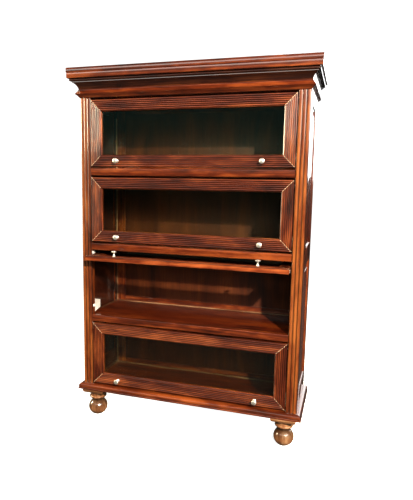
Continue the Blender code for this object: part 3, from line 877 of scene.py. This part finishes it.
def build_hardware(tier, word, side):
    """What a track and a catch are fixed with: screws, and a nose plate flush with the post's edge."""
    line = pivot_height(tier)
    track_low, track_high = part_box(f"track_{tier}_{word}")
    web = side * (INNER - GAP - 0.0015)
    along = [track_low.y + share * (track_high.y - track_low.y) for share in TRACK_SCREW_SHARES]
    places = [((web, y, line + TRACK_SCREW_UP), (-side, 0, 0)) for y in along]
    fixings(f"track_screws_{tier}_{word}", SCREW, CASE, "track_steel", places)

    faces = [side * (OPENING + inward) for inward in NOSE_PLATE]
    bm = loft([[(x, track_low.y + y, line + z) for y, z in NOSE_OUTLINE] for x in faces])
    bmesh.ops.bevel(bm, geom=bm.edges[:], offset=0.0003, segments=2, profile=0.5, affect="EDGES")
    piece(f"track_nose_{tier}_{word}", bm, CASE, "satin_nickel", ZINC, grain="Y")

    plate_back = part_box(f"catch_{tier}_{word}")[1].y - CATCH_DEPTH
    x, heights = CATCH_SCREWS
    places = [((side * x, plate_back, tier_floor(tier) + z), (0, 1, 0)) for z in heights]
    fixings(f"catch_screws_{tier}_{word}", SCREW, CASE, "satin_nickel", places)


def ball_top_shade(point):
    """Painted shade: a foot's ball is darker towards its top, up to its ring, and plain from about halfway
    down.
    """
    if point.z > BALL_TALL + 0.004:
        return 0.0
    return 0.9 * min(1.0, max(0.0, (point.z - BALL_TALL * 0.45) / (BALL_TALL * 0.5)))


def build_foot(row, word):
    """A turned bun foot: a ball, a ring, a coved neck, and a square pad with eased edges."""
    node = f"foot_{row}_{word}"
    low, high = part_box(node)
    centre = Vector(((low.x + high.x) / 2, (low.y + high.y) / 2, 0))
    under = high.z - PAD_THICK
    profile = [(0.0, under + 0.0004), (0.0405, under + 0.0004)]
    profile += [(0.0418, under - 0.0006), (0.0416, under - 0.0022)]
    profile += arc((0.0422, under - 0.0128), (0.0112, 0.0098), 104, 184, 10)
    profile += [(0.0322, under - 0.0146)]
    profile += arc((0.0300, BALL_TALL + 0.0112), (0.0070, 0.0062), 74, -74, 12)
    profile += [(0.0292, BALL_TALL + 0.0036), (0.0276, BALL_TALL - 0.0010)]
    profile += arc((0.0, BALL_TALL * 0.5), (BALL_RADIUS, BALL_TALL * 0.5), 52, -76, 30)
    profile += [(0.0080, 0.0), (0.0, 0.0)]
    piece(
        f"turned_{node}", revolve(profile, 64), CASE, "mahogany", WORN_SHEEN,
        grain="Z", hollow=ball_top_shade, matrix=Matrix.Translation(centre), stands_for=(node,),
    )
    edge = [(0.0008, high.z), (0.0, high.z - 0.0008), (0.0, high.z - 0.0040)]
    edge += bow((0.0010, high.z - 0.0050), (0.0055, under), -0.0010, 5)
    # The pad takes the feet's lighter wood, with its painted sheen.
    piece(f"pad_{node}", stepped_block(low, high, edge), CASE, "mahogany", WORN_SHEEN)


# ---------------------------------------------------------------- the doors
def groove_cutter():
    """The space in the back of a door that its pivot rod lies in."""
    outline = arc((0.0, 0.0), (ROD_GROOVE, ROD_GROOVE), 90, 270, 12)
    outline += [(DOOR_THICK, -ROD_GROOVE), (DOOR_THICK, ROD_GROOVE)]
    reach = DOOR_HALF + 0.01
    return loft([[(x, y, z) for y, z in outline] for x in (-reach, reach)])


def build_door(tier):
    """Four reeded members, the pane's stops, the strikes and clips, and the knobs' screws."""
    body = f"door_{tier}"
    pivot = pivot_of(tier)
    shoulder = FACE + REED_DEPTH
    seat = MEMBER - REBATE
    profile = [(0.0, shoulder + 0.0006)]
    profile += [(i, FACE + y) for i, y in reeds(0.0005, MEMBER - 0.0024, 6, REED_DEPTH, 12)]
    profile += [(MEMBER - 0.0012, shoulder + 0.0004), (MEMBER, shoulder + 0.0016)]
    profile += [(MEMBER, FACE + PANE_SEAT), (seat, FACE + PANE_SEAT), (seat, -FACE), (0.0, -FACE)]

    # Painted shade down in the reeds' valleys.
    def valley(point):
        deep = point.y - FACE
        return min(1.0, max(0.0, deep / REED_DEPTH)) if deep < REED_DEPTH + 0.0002 else 0.0

    # Painted highlights along the show side's mitres.
    mitres = glinting_mitres(-DOOR_HALF, DOOR_HALF, DOOR_LOW, DOOR_TOP, FACE)
    for name, bm, grain in frame_members(-DOOR_HALF, DOOR_HALF, DOOR_LOW, DOOR_TOP, profile):
        if name != "bottom_rail":
            bm = carve(bm, groove_cutter())
        made = finished(
            f"{body}_{name}", bm, body, "reeded_mahogany",
            grain=grain, hollow=valley, worn=mitres, matrix=pivot, smooth=38,
        )
        if name == "top_rail":
            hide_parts(f"{body}_frame")

    behind_pane = PANE_HIGH.y - CLOSED_LOW.y + FACE + GAP
    stop = [(seat + GAP, -FACE - 0.0003), (seat + GAP, behind_pane), (MEMBER + 0.0012, behind_pane)]
    stop += arc((seat + 0.0060, behind_pane + 0.0004), (0.0036, 0.0033), 0, 80, 5)
    for name, bm, grain in frame_members(-DOOR_HALF, DOOR_HALF, DOOR_LOW, DOOR_TOP, stop):
        finished(f"{body}_stop_{name}", bm, body, "reeded_mahogany", grain=grain, matrix=pivot)

    knobs = [((x, -FACE, DOOR_LOW + KNOB_UP), (0, 1, 0)) for x in (-KNOB_X, KNOB_X)]
    fixings(f"{body}_knob_screws", SCREW, body, "satin_nickel", knobs, matrix=pivot)
    for word, side in SIDES:
        build_knob(f"{body}_knob_{word}", body, pivot, side * KNOB_X)
        span = sorted((side * (DOOR_HALF - 0.0004), side * (DOOR_HALF + 0.0002)))
        height = DOOR_LOW + CATCH_LINE - DOOR_FOOT_GAP
        bm = board((span[0], -0.0030, height - 0.0100), (span[1], 0.0092, height + 0.0100), 0.00015, 2)
        finished(f"{body}_strike_{word}", bm, body, "satin_nickel", grain="Z", matrix=pivot)
    build_clips(body, pivot)


def build_knob(node, body, pivot, x):
    """A mushroom knob: a wide low head, a thin stem and a small flared base."""
    profile = [(0.0, 0.0247)]
    profile += arc((0.0, 0.0206), (0.0103, 0.0041), 80, 2, 12)
    profile += arc((0.0097, 0.0196), (0.0006, 0.0008), 0, -80, 4)
    profile += arc((0.0088, 0.0126), (0.0054, 0.0060), 96, 168, 8)
    profile += [(0.0034, 0.0122), (0.0033, 0.0100)]
    profile += arc((0.0072, 0.0090), (0.0038, 0.0062), 184, 248, 8)
    profile += [(0.0062, 0.0026), (0.0067, 0.0022), (0.0068, 0.0010), (0.0065, GAP), (0.0, GAP)]
    place = pivot @ Matrix.Translation((x, FACE, DOOR_LOW + KNOB_UP))
    place = place @ Matrix.Rotation(math.radians(90), 4, "X")
    knob = revolve(profile, 48)
    finished(f"turned_{node}", knob, body, "satin_nickel", matrix=place, stands_for=(node,))


def build_clips(body, pivot):
    """Saddle clips that hold the pivot rod in its groove, with a screw above and below it."""
    thick, half_long, half_tall, half_crown = 0.0009, 0.0060, 0.0125, 0.0050
    back = -FACE
    crown = max(ROD_RADIUS + 0.0002, back)
    outline = [(back, -half_tall), (back + thick, -half_tall), (crown + thick, -half_crown)]
    outline += [(crown + thick, half_crown), (back + thick, half_tall), (back, half_tall)]
    parts, screws = [], []
    for x in (-CLIP_X, 0.0, CLIP_X):
        bm = loft([[(x + end, y, z) for y, z in outline] for end in (-half_long, half_long)])
        bmesh.ops.bevel(bm, geom=bm.edges[:], offset=0.0002, segments=2, profile=0.5, affect="EDGES")
        parts.append((as_mesh(bm), Matrix.Identity(4)))
        screws += [((x, back + thick, z), (0, 1, 0)) for z in (-0.0088, 0.0088)]
    finished(f"{body}_rod_clips", gather(parts), body, "track_steel", matrix=pivot)
    fixings(f"{body}_clip_screws", SCREW, body, "track_steel", screws, matrix=pivot)


def build_rod(tier):
    """The pivot rod, with a grooved roller on each end."""
    node = f"pivot_rod_{tier}"
    low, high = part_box(node)
    radius = (high.z - low.z) / 2
    end, start = high.x, ROLLER_START
    half = [(0.0, end), (0.0016, end), (0.0018, end - 0.0004), (radius - 0.0010, end - 0.0004)]
    half += [(radius - 0.0003, end - 0.0007), (radius, end - 0.0014), (radius, end - 0.0060)]
    half += [(radius - 0.0007, end - 0.0072), (radius - 0.0007, start + 0.0072)]
    half += [(radius, start + 0.0060), (radius, start + 0.0012), (radius - 0.0004, start + 0.0003)]
    half += [(radius - 0.0012, start), (ROD_RADIUS, start)]
    profile = half + [(r, -along) for r, along in reversed(half)]
    lying = Matrix.Rotation(math.radians(90), 4, "Y")
    finished(
        f"roller_rod_{tier}", revolve(profile, 32), f"carriage_{tier}", "track_steel", grain="Z",
        matrix=Matrix.Translation(JOINTS[f"door_{tier}_lift"]["pos_m"]) @ lying, stands_for=(node,),
    )


# ---------------------------------------------------------------- CAD nodes that stay
def keep(node, material, ease=0.0004):
    """Gives a CAD node its finish, and eases its sharp edges."""
    made = frame["nodes"][node]
    made.data.materials.clear()
    made.data.materials.append(material)
    if ease:
        bevel = made.modifiers.new("eased_edges", "BEVEL")
        bevel.width = ease
        bevel.segments = 2
        bevel.limit_method = "ANGLE"
        bevel.angle_limit = math.radians(40)


# ---------------------------------------------------------------- camera, light and floor
def build_camera():
    """The photograph's viewing angle. Yaw is to the left, and pitch is up."""
    yaw, pitch, roll = (math.radians(angle) for angle in (16.56893, -7.44715, 1.12097))
    stand = (0.61916, -1.90524, 1.02283)
    forward = Vector(
        (-math.sin(yaw) * math.cos(pitch), math.cos(yaw) * math.cos(pitch), math.sin(pitch))
    )
    level = Vector((math.cos(yaw), math.sin(yaw), 0.0))
    upright = level.cross(forward)
    across = math.cos(roll) * level + math.sin(roll) * upright
    up = math.cos(roll) * upright - math.sin(roll) * level
    data = bpy.data.cameras.new("camera")
    data.sensor_width = 36.0
    data.lens = 34.0
    camera = bpy.data.objects.new("camera", data)
    turn = Matrix((across, up, -forward)).transposed().to_4x4()
    camera.matrix_world = Matrix.Translation(stand) @ turn
    bpy.context.scene.collection.objects.link(camera)
    bpy.context.scene.camera = camera


def area_light(name, place, target, size, watts, colour=(1.0, 1.0, 1.0)):
    """A rectangular lamp at a place, turned to face a target."""
    data = bpy.data.lights.new(name, "AREA")
    data.shape = "RECTANGLE"
    data.size, data.size_y = size
    data.energy = watts
    data.color = colour
    lamp = bpy.data.objects.new(name, data)
    lamp.location = place
    lamp.rotation_euler = (Vector(target) - Vector(place)).to_track_quat("-Z", "Y").to_euler()
    bpy.context.scene.collection.objects.link(lamp)


def build_lights():
    """Soft studio light: a small warm key and a softbox on the right, a wide panel in front, two cream
    banks on the left that graze the reeds, and fill behind and at the left."""
    middle = Vector((0.0, 0.0, 0.75))
    from_right = middle + 3.2 * Vector((0.68, -1.0, 0.60))
    near_white, cream = (1.0, 0.96, 0.90), (1.0, 0.86, 0.60)
    area_light("key", from_right, middle, (0.12, 0.12), 360, (1.0, 0.90, 0.74))
    area_light("softbox", (2.8, -2.2, 2.2), (0.0, 0.0, 1.3), (2.8, 1.3), 80, near_white)
    area_light("panel", (-0.2, -3.3, 2.35), (0.0, 0.0, 1.5), (5.0, 0.5), 34, (1.0, 0.97, 0.92))
    area_light("bank_high", (-4.3, -0.7, 1.95), (0.0, -0.7, 1.95), (1.2, 1.0), 230, cream)
    area_light("bank_low", (-4.3, -0.7, 0.95), (0.0, -0.7, 0.95), (1.2, 1.0), 40, cream)
    area_light("rear_fill", (1.6, 3.6, 2.4), (0.0, 0.0, 0.8), (4.0, 2.6), 130)
    area_light("side_fill", (-3.2, -1.4, 1.4), (0.0, 0.0, 0.9), (0.9, 2.2), 1.5)


def build_world():
    """White to the camera. To everything else it is a dim room with a green-grey band at eye level."""
    world = bpy.data.worlds.new("studio")
    bpy.context.scene.world = world
    world.use_nodes = True
    tree = world.node_tree
    tree.nodes.clear()
    direction = add(tree, "TexCoord").outputs["Generated"]
    height = add(tree, "SeparateXYZ", Vector=direction).outputs["Z"]
    room = ramp(
        tree,
        height,
        (0.02, (0.010, 0.022, 0.016)),
        (0.08, (0.06, 0.15, 0.12)),
        (0.18, (0.07, 0.17, 0.15)),
        (1.0, grey(0.07)),
    )
    dim = add(tree, "Background", Color=room, Strength=1.0)
    white = add(tree, "Background", Color=grey(1.0), Strength=1.0)
    seen = add(tree, "LightPath").outputs["Is Camera Ray"]
    mixed = add(tree, "MixShader", _0=seen, _1=dim.outputs[0], _2=white.outputs[0])
    output = add(tree, "OutputWorld")
    tree.links.new(mixed.outputs[0], output.inputs["Surface"])


def build_floor():
    """A plain pale floor, mottled faintly. Far off it is as white as the room behind it."""
    material, tree = blank("pale_floor")
    place = add(tree, "TexCoord").outputs["Object"]
    mottle = add(tree, "TexNoise", Vector=place, Scale=3.0, Detail=4.0).outputs["Fac"]
    tone = ramp(tree, mottle, (0.3, grey(0.84)), (0.7, grey(0.88)))
    painted = add(tree, "BsdfDiffuse", Color=tone, Roughness=0.5)
    glow = add(tree, "Emission", Color=grey(1.0), Strength=0.72)
    near = add(tree, "AddShader", _0=painted.outputs[0], _1=glow.outputs[0])
    white = add(tree, "Emission", Color=grey(1.0), Strength=1.0)
    distance = add(tree, "VectorMath", {"operation": "LENGTH"}, _0=place).outputs["Value"]
    far = ramp(tree, maths(tree, "MULTIPLY", distance, 0.1), (0.12, grey(0.0)), (0.32, grey(1.0)))
    seen = add(tree, "MixShader", _0=far, _1=near.outputs[0], _2=white.outputs[0])
    dim = add(tree, "BsdfDiffuse", Color=grey(0.05))
    by_camera = add(tree, "LightPath").outputs["Is Camera Ray"]
    show(tree, add(tree, "MixShader", _0=by_camera, _1=dim.outputs[0], _2=seen.outputs[0]))
    bm = bmesh.new()
    bmesh.ops.create_grid(bm, x_segments=1, y_segments=1, size=60.0)
    mesh = as_mesh(bm)
    mesh.materials.append(material)
    floor = bpy.data.objects.new("floor", mesh)
    floor.location = (0.0, 0.0, -0.0002)
    bpy.context.scene.collection.objects.link(floor)


# ---------------------------------------------------------------- the whole scene
build_camera()
build_lights()
build_world()
build_floor()
build_cornice()
build_base()
build_back()
for tier_number in TIERS[:-1]:
    build_shelf(tier_number)
for side_word, side_sign in SIDES:
    build_pilaster(side_word, side_sign)
    build_side(side_word, side_sign)
    for foot_row in ("front", "rear"):
        build_foot(foot_row, side_word)
for tier_number in TIERS:
    build_beads(tier_number)
    build_door(tier_number)
    build_rod(tier_number)
    for side_word, side_sign in SIDES:
        build_hardware(tier_number, side_word, side_sign)
        keep(f"track_{tier_number}_{side_word}", STEEL)
        keep(f"catch_{tier_number}_{side_word}", ZINC)
    keep(f"door_{tier_number}_glass", GLASS, 0.0)
keep("frieze_rail", CAD_MAHOGANY_X, 0.0008)
keep("ceiling_board", CAD_INSIDE_X, 0.0008)
keep("bottom_board", CAD_INSIDE_X, 0.0)
view = bpy.context.scene.view_settings
view.view_transform = "Standard"
view.gamma = 0.85
view.exposure = 0.19
